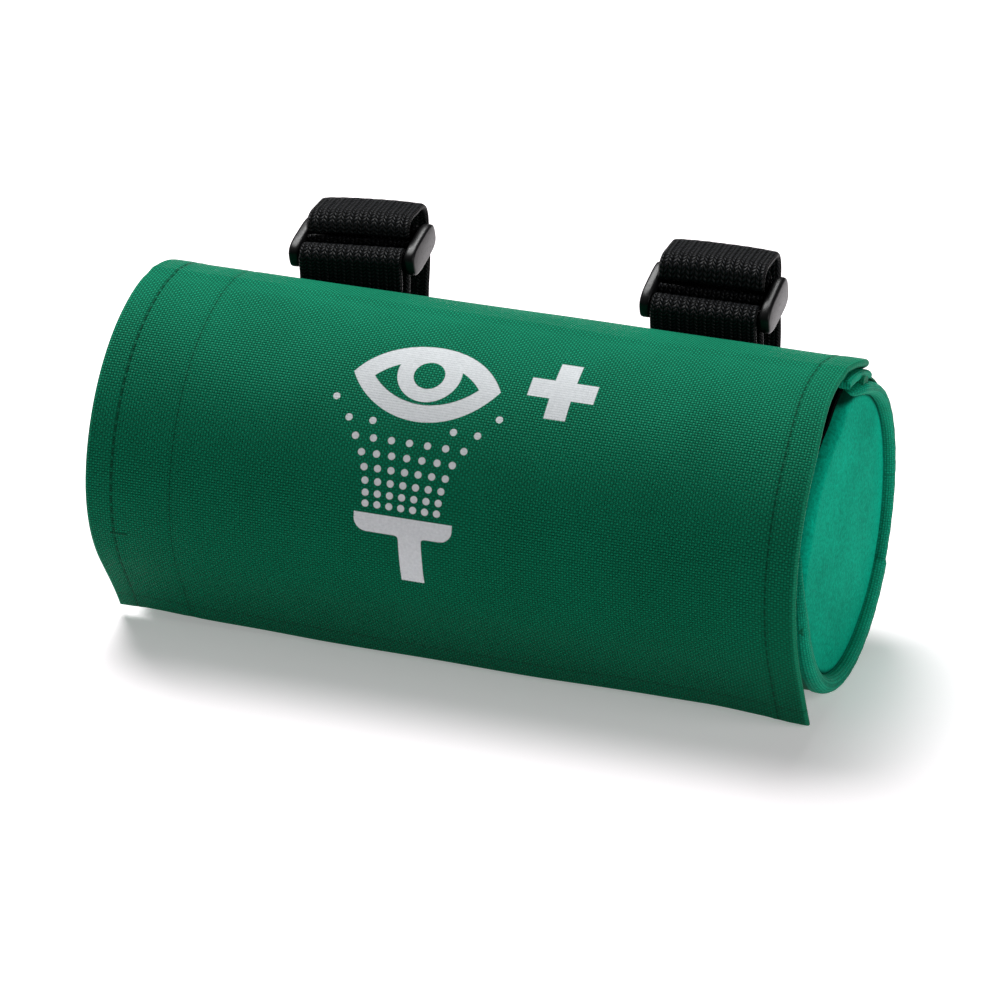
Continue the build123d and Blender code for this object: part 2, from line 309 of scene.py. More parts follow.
flapLook = {
    "hem": 9.0, "leftRow": 7.3, "secondRow": 23.0, "rightRow": 7.2, "rootRow": -14.4, "frontRow": 6.0,
    "stitchStep": 3.1, "stitchGap": 1.0, "stitchWidth": 0.42,
    "tackS": 86.0, "tackIn": 8.5, "tackLength": 4.5,    # a short bar of thread across the left row
    "topLightLow": 92.0, "topLightHigh": -4.0,                # painted light: the cloth is painted lighter towards the top, where the light falls, between these
    "liningPitch": 0.42,
}


def flapMaterial(left, right, end):
    # The flap's green cloth, its print and stitches, and its black inside beyond the turned hems.
    look = flapLook
    paint = Paint("flapCloth")
    vector, x, s, side = paint.attribute("clothPlace")
    # painted light: the flap's colour goes from lowGreen low down to the lighter topGreen at the top
    paintedTopLight = paint.mix(s.ramp(look["topLightLow"], look["topLightHigh"]), clothLook["lowGreen"], clothLook["topGreen"])
    colour, roughness, bump = greenWeave(paint, x, s, vector, paintedTopLight)
    thread = valley = None
    rows = [(x - (left + look["leftRow"]), s, 1.0), (x - (left + look["secondRow"]), s, 0.6),
            (x - (right - look["rightRow"]), s, 0.9), (s - look["rootRow"], x, 1.0),
            (s - (end - look["frontRow"]), x, 0.45)]
    for distance, along, share in rows:
        one, sunk = stitchRow(paint, distance, along, look["stitchStep"], look["stitchGap"], look["stitchWidth"])
        one, sunk = one * share, sunk * share
        thread = one if thread is None else thread.most(one)
        valley = sunk if valley is None else valley.most(sunk)
    tackHalf = look["tackLength"] / 2
    tackEnds = abs(x - (left + look["tackIn"])).ramp(tackHalf + 0.2, tackHalf)
    thread = thread.most(abs(s - look["tackS"]).ramp(0.45, 0.15) * tackEnds)
    edge = (x - left).least(right - x).least(end - s)
    worn = edge.ramp(1.5, 0.1) * side.ramp(0.1, 0.9)
    colour = paint.mix(worn * 0.5, colour, clothLook["wornGreen"])
    # painted shade: the sunk seams beside the stitch rows are darkened towards deep green
    colour = paint.mix(valley * 0.35, colour, clothLook["deepGreen"])
    colour = paint.mix(thread * 0.85, colour, clothLook["stitchGreen"])
    inked = safetyPrint(paint, x, s) * side.ramp(0.4, 0.6)
    speck = paint.noise(vector, 1.4, 2.0)
    white = paint.mix(speck, clothLook["printGrey"], clothLook["printWhite"])
    colour = paint.mix(inked * (0.99 - bump.ramp(0.25, 0.05) * 0.12), colour, white)
    roughness = roughness * (1 - inked) + inked * 0.5
    bump = bump * (1 - inked * 0.72) - valley * 0.4 + thread * 0.5 + inked * 0.3
    lining = side.ramp(0.45, 0.35) * edge.ramp(look["hem"] - 1.2, look["hem"] - 0.9)
    nap = weave(x, s, look["liningPitch"])[0]
    colour = paint.mix(lining, colour, clothLook["insideBlack"])
    bump = bump * (1 - lining) + nap * lining * 0.3
    return clothFinish(paint, colour, roughness, bump)


def clothMaterial(name, rows):
    # The same green cloth for the pouch's own pieces. rows are (axis 0 or 1, place, step) of stitches.
    paint = Paint(name)
    vector, x, s, side = paint.attribute("clothPlace")
    colour, roughness, bump = greenWeave(paint, x, s, vector)
    for axis, spot, step in rows:
        distance, along = (x - spot, s) if axis == 0 else (s - spot, x)
        thread, valley = stitchRow(paint, distance, along, step, 0.9, flapLook["stitchWidth"])
        # painted shade: the sunk seams beside the stitch rows are darkened towards deep green
        colour = paint.mix(valley * 0.4, colour, clothLook["deepGreen"])
        colour = paint.mix(thread * 0.9, colour, clothLook["stitchGreen"])
        bump = bump - valley * 0.4 + thread * 0.5
    return clothFinish(paint, colour, roughness, bump)


def tapeMaterial(name, colours, pitch, strength=0.7):
    # Ribbed binding tape: fine ribs across the strip and rows along it, with painted shade in the hollows between the
    # ribs and painted light on their crests.
    paint = Paint(name)
    vector, x, s, side = paint.attribute("clothPlace")
    rib, over = weave(x, s, pitch)
    fuzz = paint.noise(vector, 2.6, 2.0)
    broad = paint.noise(vector, 0.12, 2.0)
    shade = (rib * 0.5 + over * 0.15 + fuzz * 0.4 + broad * 0.3 - 0.25).clip()
    colour = paint.mix(shade, colours[0], colours[1])
    return paint.finish(colour, 0.74 - rib * 0.16, rib + fuzz * 0.5, strength, 0.00025, Specular_IOR_Level=0.05)


def feltMaterial(name, colours, scale, strength, creaseShade=None):
    # Smooth napped cloth or foam: fine fibres and soft blotches. The last argument is the radius of a painted shade
    # line round its edge, in the crease by the rim.
    paint = Paint(name)
    vector = paint.objectPlace()
    fine = paint.noise(vector, scale, 3.0, 0.65)
    weaveFine = paint.noise(vector, scale * 3.1, 1.0)
    broad = paint.noise(vector, 0.06, 3.0)
    shade = (fine * 1.1 + weaveFine * 0.5 + broad * 0.5 - 0.55).clip()
    colour = paint.mix(shade, colours[0], colours[1])
    if creaseShade:
        spot, across, up, side = paint.attribute("clothPlace")
        # painted shade: the crease round the disc's edge, where it meets the rim, is painted near-black green
        sunk = across.length(up).ramp(creaseShade - 1.9, creaseShade - 0.5)
        colour = paint.mix(sunk * 0.94, colour, (0.0006, 0.022, 0.012))
    return paint.finish(colour, 0.72 - fine * 0.12, fine * 0.6 + weaveFine * 0.5, strength, 0.00025,
                        Specular_IOR_Level=0.005)


webbingLook = {
    # light is the painted highlight on the ribs' crests
    "rib": 1.15, "row": 0.90, "dark": (0.0003, 0.0004, 0.0005), "light": (0.016, 0.018, 0.022),
    "thread": (0.030, 0.031, 0.033), "boxStart": 2.4, "boxEnd": 15.0, "boxHalf": 11.6,    # the stitched box
}


def webbingMaterial(name="blackWebbing", sewn=False):
    # Heavy woven webbing: small ribs in pairs that slant each way, with painted highlights on their crests over a
    # near-black ground. Where it is sewn to the pouch it has a box of stitches with a cross in it.
    paint = Paint(name)
    look = webbingLook
    vector, x, s, side = paint.attribute("clothPlace")
    slant = abs((x / (look["rib"] * 2)).wrap() - 0.5) * look["rib"] * 1.3
    cross = abs(((s + slant) * (math.pi / look["row"])).sin())
    column = abs((x * (math.pi / look["rib"])).sin())
    crest = (cross * column) ** 0.6
    fuzz = paint.noise(vector, 3.4, 2.0)
    selvage = abs(x).ramp(13.6, 14.6)
    # painted highlight: only the crests' tops take the light colour
    shade = (crest * 1.7 + fuzz * 0.5 - 1.15).clip()
    colour = paint.mix(shade, look["dark"], look["light"])
    bump = crest * (1 - selvage * 0.5) + fuzz * 0.25
    if sewn:
        near, far, half = look["boxStart"], look["boxEnd"], look["boxHalf"]
        slope = half / ((far - near) / 2)
        centred = s - (near + far) / 2
        rows = [(s - near, x), (s - far, x), (abs(x) - half, s),
                ((x - centred * slope) * 0.55, s), ((x + centred * slope) * 0.55, s)]
        inside = abs(x).ramp(half + 0.5, half) * abs(centred).ramp((far - near) / 2 + 0.5, (far - near) / 2)
        for distance, along in rows:
            thread, valley = stitchRow(paint, distance, along, 2.4, 0.7, 0.5)
            colour = paint.mix(thread * inside, colour, look["thread"])
            bump = bump - valley * inside * 0.6 + thread * inside * 0.8
    return paint.finish(colour, 0.50 - crest * 0.16, bump, 0.9, 0.00045, Specular_IOR_Level=0.12)


def plasticMaterial(name, colours, roughness, grain, scratches, **fixed):
    # Moulded plastic: a trace of grain and orange peel, faint scuffs in the gloss.
    paint = Paint(name)
    vector = paint.objectPlace()
    peel = paint.noise(vector, 0.5, 2.0)
    fine = paint.noise(vector, 6.0, 2.0)
    scuff = paint.noise(vector, 1.1, 5.0, 0.75).ramp(0.52, 0.68)
    colour = paint.mix((peel * 0.7 + scuff * 0.5).clip(), colours[0], colours[1])
    return paint.finish(colour, roughness + scuff * scratches + fine * 0.05, peel * 0.5 + fine * 0.5, 0.12 + grain,
                        0.0001, **fixed)


def hookMaterial(name, pitch, colours):
    # Hook or loop tape: tight rows of short tufts, with painted light on the tufts and painted shade between them.
    paint = Paint(name)
    vector, x, s, side = paint.attribute("clothPlace")
    tuft = weave(x + paint.noise(vector, 0.9, 1.0) * 0.5, s, pitch)[0]
    fuzz = paint.noise(vector, 3.0, 3.0, 0.7)
    colour = paint.mix((tuft * 0.5 + fuzz * 0.6 - 0.2).clip(), colours[0], colours[1])
    return paint.finish(colour, 0.85 - fuzz * 0.1, tuft + fuzz * 0.6, 0.9, 0.0004,
                        Sheen_Weight=0.2, Sheen_Roughness=0.5)


# mesh tools

def joinedGrid(rows, columns, closed=False):
    # Four-sided faces of a grid of points numbered row by row. closed joins the last column to the first.
    wide = columns if closed else columns - 1
    r, c = np.meshgrid(np.arange(rows - 1), np.arange(wide), indexing="ij")
    d = (c + 1) % columns
    near, far = r * columns, (r + 1) * columns
    return np.stack([near + c, near + d, far + d, far + c], -1).reshape(-1, 4)


def cappedTube(rows, columns, offset=0):
    # Faces of a tube of rows rings, numbered from offset, with a flat face over each end.
    last = offset + (rows - 1) * columns
    sides = [list(face) for face in joinedGrid(rows, columns, closed=True) + offset]
    return sides + [list(range(offset, offset + columns)), list(range(last, last + columns))]


def makePiece(name, points, faces, material, cloth=None, sharp=50.0):
    # A closed mesh from points in metres: doubles merged, faces turned outwards, corners above sharp degrees kept.
    mesh = bpy.data.meshes.new(name)
    mesh.from_pydata(points.reshape(-1, 3).tolist(), [], [list(face) for face in faces])
    if cloth is not None:
        attribute = mesh.attributes.new("clothPlace", "FLOAT_VECTOR", "POINT")
        attribute.data.foreach_set("vector", np.ascontiguousarray(cloth, np.float32).ravel())
    work = bmesh.new()
    work.from_mesh(mesh)
    bmesh.ops.remove_doubles(work, verts=work.verts, dist=2e-6)
    bmesh.ops.dissolve_degenerate(work, edges=work.edges, dist=1e-7)
    bmesh.ops.recalc_face_normals(work, faces=work.faces)
    work.to_mesh(mesh)
    work.free()
    mesh.shade_smooth()
    mesh.set_sharp_from_angle(angle=math.radians(sharp))
    mesh.materials.append(material)
    piece = bpy.data.objects.new(name, mesh)
    bpy.context.scene.collection.objects.link(piece)
    return piece


def clothSheet(name, middle, normal, half, along, across, material):
    # A sheet with thickness: its two faces stand half to each side of the middle surface and meet at the edges.
    # middle and normal are (rows, columns, 3) in millimetres round the axis; along and across fill clothPlace.
    rows, columns = half.shape
    outer, inner = middle + normal * half[..., None], middle - normal * half[..., None]
    both = np.concatenate([outer.reshape(-1, 3), inner.reshape(-1, 3)])
    both[:, 2] = np.maximum(both[:, 2], floorZ + 0.02)
    count = rows * columns
    faces = joinedGrid(rows, columns)
    index = np.arange(count).reshape(rows, columns)
    border = np.concatenate([index[0, :-1], index[:-1, -1], index[-1, :0:-1], index[:0:-1, 0]])
    after = np.roll(border, -1)
    sides = np.stack([border, after, after + count, border + count], -1)
    allFaces = np.concatenate([faces, faces[:, ::-1] + count, sides])
    side = np.concatenate([np.ones(count), np.zeros(count)])
    cloth = np.stack([np.tile(np.broadcast_to(along, half.shape).ravel(), 2),
                      np.tile(np.broadcast_to(across, half.shape).ravel(), 2), side], -1)
    return makePiece(name, place(*both.T), allFaces, material, cloth)


def edgeProfile(distance, half):
    # Half thickness near a rounded edge: a quarter circle that grows from 0 at the edge to half.
    t = np.clip(distance / half, 0, 1)
    return half * np.sqrt(np.clip(1 - (1 - t) ** 2, 0, 1))


def edgeSpaced(low, high, middle, half, lowRound=True, highRound=True):
    # Stations from low to high, close together within half of a rounded end, so that its profile reads round.
    fan = half * (1 - np.cos(np.linspace(0, math.pi / 2, 6)))
    first = low + fan if lowRound else np.array([low])
    last = high - fan[::-1] if highRound else np.array([high])
    return np.concatenate([first[:-1] if lowRound else first[:0],
                           np.linspace(first[-1], last[0], middle), last[1:] if highRound else last[:0]])


# flap

flapShape = {
    "rootAngle": 57.0, "straightAngle": 208.0, "tail": 19.5, "thick": 2.0,
    "sectionAngles": (98.5, 136.5, 173.5),                 # where one section ends and the next one starts
    "firstSpread": 12.0, "spread": 14.0,                   # degrees to each side of a hinge
    "wave": 0.32, "hemRise": 0.22, "seamDip": 0.13, "rootStep": 1.1, "sink": 0.35,
    "shortLeft": 0.062, "longRight": 0.056,                # shares of the tail
    "flareRight": 1.5, "flareLeft": 0.9, "crestLeft": 0.55, "hollowRight": 0.45,
    "tailOut": 2.2, "cornerOut": 1.2, "cornerIn": 2.4, "sideOut": 1.5,
}
leftEdge, rightEdge = (nodeBox("flap_cover_2")[i][0] - middleX for i in (0, 1))
tailEnd = wrapRadius * math.radians(flapShape["straightAngle"] - hingeAngles["flap_open"]) + flapShape["tail"]


def arcPlace(angle):
    # Millimetres along the flap's outside, from its first hinge.
    return wrapRadius * np.radians(np.asarray(angle, float) - hingeAngles["flap_open"])


def flapSurface(x, s):
    # The flap's middle surface at x and s: round to its straight angle, straight after it, with slight
    # waves that grow towards the free edge, a step down at the stitched root, and corners that ease in or flare.
    f = flapShape
    straight = float(arcPlace(f["straightAngle"]))
    inward = x - leftEdge
    across = inward / (rightEdge - leftEdge)
    over = np.maximum(s - straight, 0.0)
    over = over * (1 - f["shortLeft"] * np.exp(-((inward - 16.0) / 12.0) ** 2)
                   + f["longRight"] * smooth(inward, 30.0, 60.0))
    angle = hingeAngles["flap_open"] + np.degrees(np.minimum(s, straight) / wrapRadius)
    free = smooth(s, 60.0, tailEnd)
    wave = f["wave"] * (np.sin(x / 17.0 + 0.6) * 0.6 + np.sin(x / 7.3 + s / 21.0) * 0.25) * (0.25 + 0.75 * free)
    hem = f["hemRise"] * smooth(np.minimum(inward, rightEdge - x), 9.5, 8.0)
    seams = -f["seamDip"] * (np.exp(-((inward - flapLook["leftRow"]) / 1.1) ** 2)
                             + np.exp(-((inward - flapLook["secondRow"]) / 1.3) ** 2) * 0.7
                             + np.exp(-((rightEdge - x - flapLook["rightRow"]) / 1.1) ** 2))
    root = -f["rootStep"] * smooth(s, -12.0, -16.5)
    ridge = 0.20 * np.exp(-((s - 4.0) / 1.4) ** 2) - 0.18 * np.exp(-((s - 7.5) / 2.0) ** 2)
    flare = free ** 3 * (f["flareRight"] * smooth(across, 0.86, 1.0) - f["flareLeft"] * smooth(across, 0.12, 0.0))
    crest = (f["crestLeft"] * np.exp(-((inward - 30.0) / 22.0) ** 2)
             - f["hollowRight"] * np.exp(-((inward - 135.0) / 25.0) ** 2))
    crest = crest * smooth(s, 22.0, 8.0) * smooth(s, -12.0, -2.0)
    radius = wrapRadius - f["thick"] / 2 - f["sink"] + wave + hem + seams + root + ridge + crest + flare
    cos, sin = turn(angle)
    runCos, runSin = turn(angle + 90)
    y = radius * cos + over * runCos
    z = radius * sin + over * runSin
    corner = f["cornerOut"] * np.exp(-((s + 9.0) / 8.0) ** 2) - f["cornerIn"] * smooth(s, -12.5, -16.5)
    rightOut = 0.1 + corner + f["sideOut"] * smooth(s, 14.0, 42.0) + 0.4 * free
    shift = f["tailOut"] * free ** 2 * smooth(across, 0.06, 0.0) + rightOut * smooth(across, 0.90, 1.0)
    return np.stack(np.broadcast_arrays(x + shift, y, z), -1), np.stack(np.broadcast_arrays(0 * x * s, cos, sin), -1)


def flapPiece(name, low, high, material, free=False, root=False):
    # The flap's cloth between two places along its outside, with a round edge where it is free or sewn down.
    half = flapShape["thick"] / 2
    x = edgeSpaced(leftEdge + 0.05, rightEdge - 0.05, 210, half)
    count = max(int((high - low) / 1.0), 8)
    s = edgeSpaced(low, high, count, half, lowRound=root, highRound=free)
    gridS, gridX = np.meshgrid(s, x, indexing="ij")
    middle, normal = flapSurface(gridX, gridS)
    inFromSide = np.minimum(gridX - x[0], x[-1] - gridX)
    thin = edgeProfile(inFromSide, half)
    if free:
        thin = np.minimum(thin, edgeProfile(high - gridS, half))
    if root:
        thin = np.minimum(thin, edgeProfile(gridS - low, half))
    return clothSheet(name, middle, normal, thin, gridX, gridS, material)


def surfacePoint(angle):
    # A point on the flap's round outside at the pouch's middle, in metres in the frame.
    cos, sin = turn(angle)
    return place(0.0, wrapRadius * cos, wrapRadius * sin)


flapCloth = flapMaterial(leftEdge, rightEdge, tailEnd)
borders = [float(arcPlace(a)) for a in (flapShape["rootAngle"], *flapShape["sectionAngles"])] + [tailEnd]
sections = [
    ("flapRootCloth", "pouch", "flap_1", "flap_open"),
    ("flapUpperCloth", "flap_1", "flap_2", "flap_bend_upper"),
    ("flapMiddleCloth", "flap_2", "flap_3", "flap_bend_middle"),
    ("flapFrontCloth", "flap_3", "flap_4", "flap_bend_lower"),
]
for index, (name, firstBody, secondBody, hinge) in enumerate(sections):
    piece = flapPiece(name, borders[index], borders[index + 1], flapCloth, free=index == 3, root=index == 0)
    spread = flapShape["firstSpread"] if index == 0 else flapShape["spread"]
    surfacePoint(hingeAngles[hinge] - spread)
    surfacePoint(hingeAngles[hinge] + spread)
    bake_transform(piece)
    nodes = ["flap_root_cover"] if index == 0 else []
    nodes += [f"flap_{layer}_{index + 1}" for layer in ("cover", "padding", "lining")]
    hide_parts(*nodes)
    (rightEdge - leftEdge) * mm
print("flap made")


# pouch wall

wallShape = {"topAngle": 75.0, "frontAngle": 190.0, "lining": (35.25, 35.95), "foam": (36.0, 39.0),
             "cover": (39.1, 39.85), "rowIn": 6.6, "edgeRowIn": 3.2, "stitchStep": 3.3}


def wallPiece(name, radii, angles, ends, material, nodes, puff=0.0, columns=150, step=1.5):
    # A strip of cloth round the axis, between two radii and two angles, with rounded edges and a slight swell.
    (inner, outer), (left, right) = radii, ends
    half = (outer - inner) / 2
    x = edgeSpaced(left, right, columns, half)
    reach = math.radians(angles[1] - angles[0]) * outer
    s = edgeSpaced(0.0, reach, max(int(reach / step), 4), half)
    gridS, gridX = np.meshgrid(s, x, indexing="ij")
    angle = angles[0] + np.degrees(gridS / outer)
    swell = puff * (np.sin(gridX / 23.0 + angle / 31.0) * 0.5 + np.sin(gridX / 9.0 - angle / 17.0) * 0.3)
    radius = (inner + outer) / 2 + swell
    cos, sin = turn(angle)
    middle = np.stack([gridX, radius * cos, radius * sin], -1)
    normal = np.stack([0 * gridX, cos, sin], -1)
    thin = np.minimum(edgeProfile(np.minimum(gridX - left, right - gridX), half),
                      edgeProfile(np.minimum(gridS, reach - gridS), half))
    piece = clothSheet(name, middle, normal, thin, gridX, gridS, material)
    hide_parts(*nodes)
    return piece


wallLeft, wallRight = wallLow[0] - middleX, wallHigh[0] - middleX
wallStart, wallEnd = wallShape["frontAngle"], 360 + wallShape["topAngle"]
wallReach = math.radians(wallEnd - wallStart) * wallShape["cover"][1]
rowStep, rowIn, edgeRowIn = wallShape["stitchStep"], wallShape["rowIn"], wallShape["edgeRowIn"]
coverCloth = clothMaterial("pouchCloth", [(0, wallLeft + rowIn, rowStep), (0, wallRight - rowIn, rowStep),
                                          (1, edgeRowIn, rowStep), (1, wallReach - edgeRowIn, rowStep)])
liningCloth = tapeMaterial("blackLining", ((0.004, 0.0042, 0.0045), (0.014, 0.0145, 0.015)), 0.5, 0.4)
foamLook = feltMaterial("greyFoam", ((0.06, 0.062, 0.065), (0.11, 0.112, 0.115)), 1.2, 0.5)
# Each layer's name, its radii in wallShape, the node it stands for, its material, the degrees and millimetres by
# which it stops short, its swell, its columns and step, and its slot.
layers = [
    ("pouchCover", "cover", "body_cover", coverCloth, 1, 1.2, 0.12, 150, 1.5, "green_cloth"),
    ("pouchFoam", "foam", "body_padding", foamLook, 2, 2.5, 0.0, 60, 3.0, "foam"),
    ("pouchLining", "lining", "body_lining", liningCloth, 1, 3.0, 0.1, 90, 3.0, "black_lining"),
]
for name, key, node, material, shortAngle, shortEnd, puff, columns, step, slot in layers:
    piece = wallPiece(name, wallShape[key], (wallStart + shortAngle, wallEnd - shortAngle),
                      (wallLeft + shortEnd, wallRight - shortEnd), material, [node], puff, columns, step)
    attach(piece, "pouch")

# The seam that holds the flap: a band of the same cloth under its root.
seamShape = {"radii": (39.75, 41.7), "angles": (58.0, 79.0), "leftIn": 0.6, "rightIn": 2.4}
seam = wallPiece("flapSeam", seamShape["radii"], seamShape["angles"],
                 (wallLeft + seamShape["leftIn"], rightEdge - seamShape["rightIn"]), coverCloth, ["flap_root_seam"],
                 0.05, 120, 1.0)
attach(seam, "pouch")
seamLength = rightEdge - wallLeft - seamShape["leftIn"] - seamShape["rightIn"]
seamLength * mm


edgeShape = {"radius": 37.55, "halfHeight": 2.4, "halfDepth": 2.2, "short": 0.2}


def edgeTape(name, angle, direction, nodes, material):
    # Tape that wraps one of the wall's two long edges: a flattened roll in section, carried along X, whose depth
    # swells and shrinks a little.
    f = edgeShape
    count = 40
    t = np.linspace(0, 2 * math.pi, count, endpoint=False)
    x = np.linspace(wallLeft + f["short"], wallRight - f["short"], 150)
    bulge = 1 + 0.04 * np.sin(x / 5.1) + 0.03 * np.sin(x / 2.3 + 1)
    radial = f["radius"] + np.sign(np.sin(t)) * np.abs(np.sin(t)) ** 0.6 * f["halfHeight"]
    depth = f["halfDepth"] * np.sign(np.cos(t)) * np.abs(np.cos(t)) ** 0.9
    gridX, gridR = np.meshgrid(x, radial, indexing="ij")
    gridDepth = depth[None, :] * bulge[:, None]
    gridAngle = angle + direction * np.degrees((gridDepth + 0.4) / f["radius"])
    cos, sin = turn(gridAngle)
    points = place(gridX, gridR * cos, gridR * sin).reshape(-1, 3)
    around = np.broadcast_to(t / (2 * math.pi) * 14.0, gridX.shape)
    cloth = np.stack([gridX.ravel(), around.ravel(), np.ones(gridX.size)], -1)
    piece = makePiece(name, points, cappedTube(len(x), count), material, cloth)
    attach(piece, "pouch")
    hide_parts(*nodes)


tapeGreen = tapeMaterial("greenTape", ((0.0018, 0.080, 0.038), (0.010, 0.280, 0.150)), 0.66)
edgeTape("frontEdgeTape", wallShape["frontAngle"] + 2.0, 1, ["front_edge_binding"], tapeGreen)
edgeTape("topEdgeTape", wallShape["topAngle"] - 2.0, -1, ["top_edge_binding"], tapeGreen)
print("pouch wall made")


# rims and end panels

rimShape = {
    "height": 2.3, "depth": 3.6, "inset": 1.5, "innerRadius": 36.5, "outerRadius": 39.9,
    "openMiddle": 35.9, "openHalf": 0.6, "openDrop": 2.8,    # the slimmer piping on the open side
    "lapAngle": 325.0, "lap": 1.0, "dip": 0.13, "sag": 1.5, "slump": 4.4,
}


def slumpAt(angle):
    # How far the end's upper front, under the flap, has slumped inwards, in millimetres.
    return rimShape["slump"] * smooth(angle, 80.0, 105.0) * smooth(angle, 187.0, 150.0)


def rimPiece(name, side, node, material):
    # The rolled edge round an end: a round bead in section, swept all the way round. It binds the wall on the
    # closed side, and is a slimmer piping on the open side. It is a little lumpy, has small stitch dips on its
    # outer shoulder, and gets thicker past the place where its tape laps over itself.
    f = rimShape
    angles = np.linspace(0, 360, 420, endpoint=False)
    t = np.linspace(0, 2 * math.pi, 44, endpoint=False)
    gridAngle, gridTurn = np.meshgrid(angles, t, indexing="ij")
    top, front = wallShape["topAngle"], wallShape["frontAngle"]
    opening = smooth(gridAngle, top - 3.0, top + 12.0) * smooth(gridAngle, front + 3.0, front - 34.0)
    closedMiddle = (f["innerRadius"] + f["outerRadius"]) / 2
    closedHalf = (f["outerRadius"] - f["innerRadius"]) / 2
    middle = closedMiddle + (f["openMiddle"] - closedMiddle) * opening - slumpAt(gridAngle)
    wide = closedHalf + (f["openHalf"] - closedHalf) * opening
    lap = smooth(gridAngle, f["lapAngle"] + 0.7, f["lapAngle"] - 0.7) * smooth(gridAngle, front - 6.0, front + 25.0)
    lap = lap * (f["lap"] if side > 0 else 0)
    lumps = f["dip"] * (np.sin(np.radians(gridAngle) * 117) * 0.4 + np.sin(np.radians(gridAngle) * 43) * 0.6)
    bead = f["height"] + lap * 0.4 + lumps * 0.4 - 1.6 * opening
    depth = f["depth"] - 2.9 * opening
    base = wallRight - f["inset"] - f["openDrop"] * opening
    cos, sin = np.cos(gridTurn), np.sin(gridTurn)
    gridX = np.where(cos > 0, base + bead * cos, base + depth * cos)
    bulge = np.sign(sin) * np.abs(sin) ** 0.85
    lapped = lap * (0.35 * np.maximum(sin, 0) - 1.1 * np.maximum(-sin, 0)) * (cos > -0.3)
    gridR = middle + (wide + lumps * 0.3) * bulge + lapped
    phase = (gridAngle * 0.68 / 3.1) % 1 - 0.5
    dots = np.exp(-(phase / 0.16) ** 2) * np.exp(-((gridTurn - 1.0) / 0.13) ** 2) * (1 - opening)
    gridR = gridR - dots * 0.25 - f["sag"] * np.exp(-((gridAngle - 66.0) / 20.0) ** 2)
    aroundCos, aroundSin = turn(gridAngle)
    gridX = side * gridX
    points = place(gridX, gridR * aroundCos, np.maximum(gridR * aroundSin, floorZ + 0.02)).reshape(-1, 3)
    count = len(t)
    index = np.arange(len(points)).reshape(len(angles), count)
    nextRow, nextColumn = np.roll(index, -1, 0), np.roll(index, -1, 1)
    faces = np.stack([index, nextColumn, np.roll(nextRow, -1, 1), nextRow], -1).reshape(-1, 4)
    cloth = np.stack([np.radians(gridAngle) * closedMiddle, gridTurn * 2.3, np.ones(gridAngle.shape)], -1)
    piece = makePiece(name, points, faces, material, cloth)
    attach(piece, "pouch")
    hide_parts(node)


rimTape = tapeMaterial("rimTape", ((0.0012, 0.110, 0.058), (0.006, 0.480, 0.285)), 0.70)
rimPiece("rightRimRoll", 1, "right_rim", rimTape)
rimPiece("leftRimRoll", -1, "left_rim", rimTape)

endShape = {"radius": 36.7, "backRadius": 35.1, "lipRadius": 36.9, "crown": 0.8, "rise": 0.55, "edgeRound": 1.9,
            "openRound": 1.3, "liningThick": 0.8, "creaseShadeRadius": 35.9}


def endPad(name, side, nodes, material, low, high, padded=True):
    # A round panel of cloth over foam: a crowned disc whose edge rolls over, with a wider lip on its open side.
    # The crown falls off with the radius squared, and the edge is a quarter circle. A lining is the same, but flat.
    f = endShape
    full = 1.0 if padded else 0.0
    angles = np.linspace(0, 360, 180, endpoint=False)
    closer = 1 - np.linspace(0, 1, 12)[1:]
    stations = np.concatenate([np.linspace(0.001, 0.9, 22), 1 - (1 - 0.9) * closer ** 1.7])
    gridAngle, gridShare = np.meshgrid(angles, stations, indexing="ij")
    opening = smooth(gridAngle, 74.0, 79.0) * smooth(gridAngle, 191.0, 186.0)
    limit = f["radius"] + (f["lipRadius"] - f["radius"]) * opening - slumpAt(gridAngle)
    radius = limit * gridShare
    cos, sin = turn(gridAngle)
    thick = high - low
    roundness = f["edgeRound"] + f["openRound"] * opening if padded else 0.3
    fall = roundness - np.sqrt(np.maximum(roundness ** 2 - np.maximum(radius - (limit - roundness), 0) ** 2, 0))
    fall = np.minimum(fall, thick + 0.35 if padded else thick * 0.8)
    crown = full * f["crown"] * (1 - (radius / limit) ** 2)
    soft = full * 0.16 * np.sin(radius * cos / 8.0 + 0.5) * np.sin(radius * sin / 11.0 + 1.2)
    face = high + full * f["rise"] + crown - fall + soft * (gridShare < 0.95)
    front = np.stack([side * face, radius * cos, radius * sin], -1).reshape(-1, 3)
    tuck = f["backRadius"] / f["radius"]
    back = np.stack([side * np.full_like(radius, low), radius * cos * tuck, radius * sin * tuck], -1).reshape(-1, 3)
    count, wide = len(front), len(stations)
    index = np.arange(count).reshape(len(angles), wide)
    nextRow = np.roll(index, -1, 0)
    quads = np.stack([index[:, :-1], index[:, 1:], nextRow[:, 1:], nextRow[:, :-1]], -1).reshape(-1, 4)
    rimQuads = np.stack([index[:, -1], nextRow[:, -1], nextRow[:, -1] + count, index[:, -1] + count], -1)
    both = np.concatenate([front, back])
    both[:, 2] = np.maximum(both[:, 2], floorZ + 0.4)
    faces = [list(q) for q in np.concatenate([quads, quads[:, ::-1] + count, rimQuads])]
    faces += [list(index[:, 0]), list(index[::-1, 0] + count)]
    cloth = np.stack([np.tile((radius * cos).ravel(), 2), np.tile((radius * sin).ravel(), 2),
                      np.repeat([1.0, 0.0], count)], -1)
    piece = makePiece(name, place(*both.T), faces, material, cloth)
    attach(piece, "pouch")
    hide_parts(*nodes)
    return piece
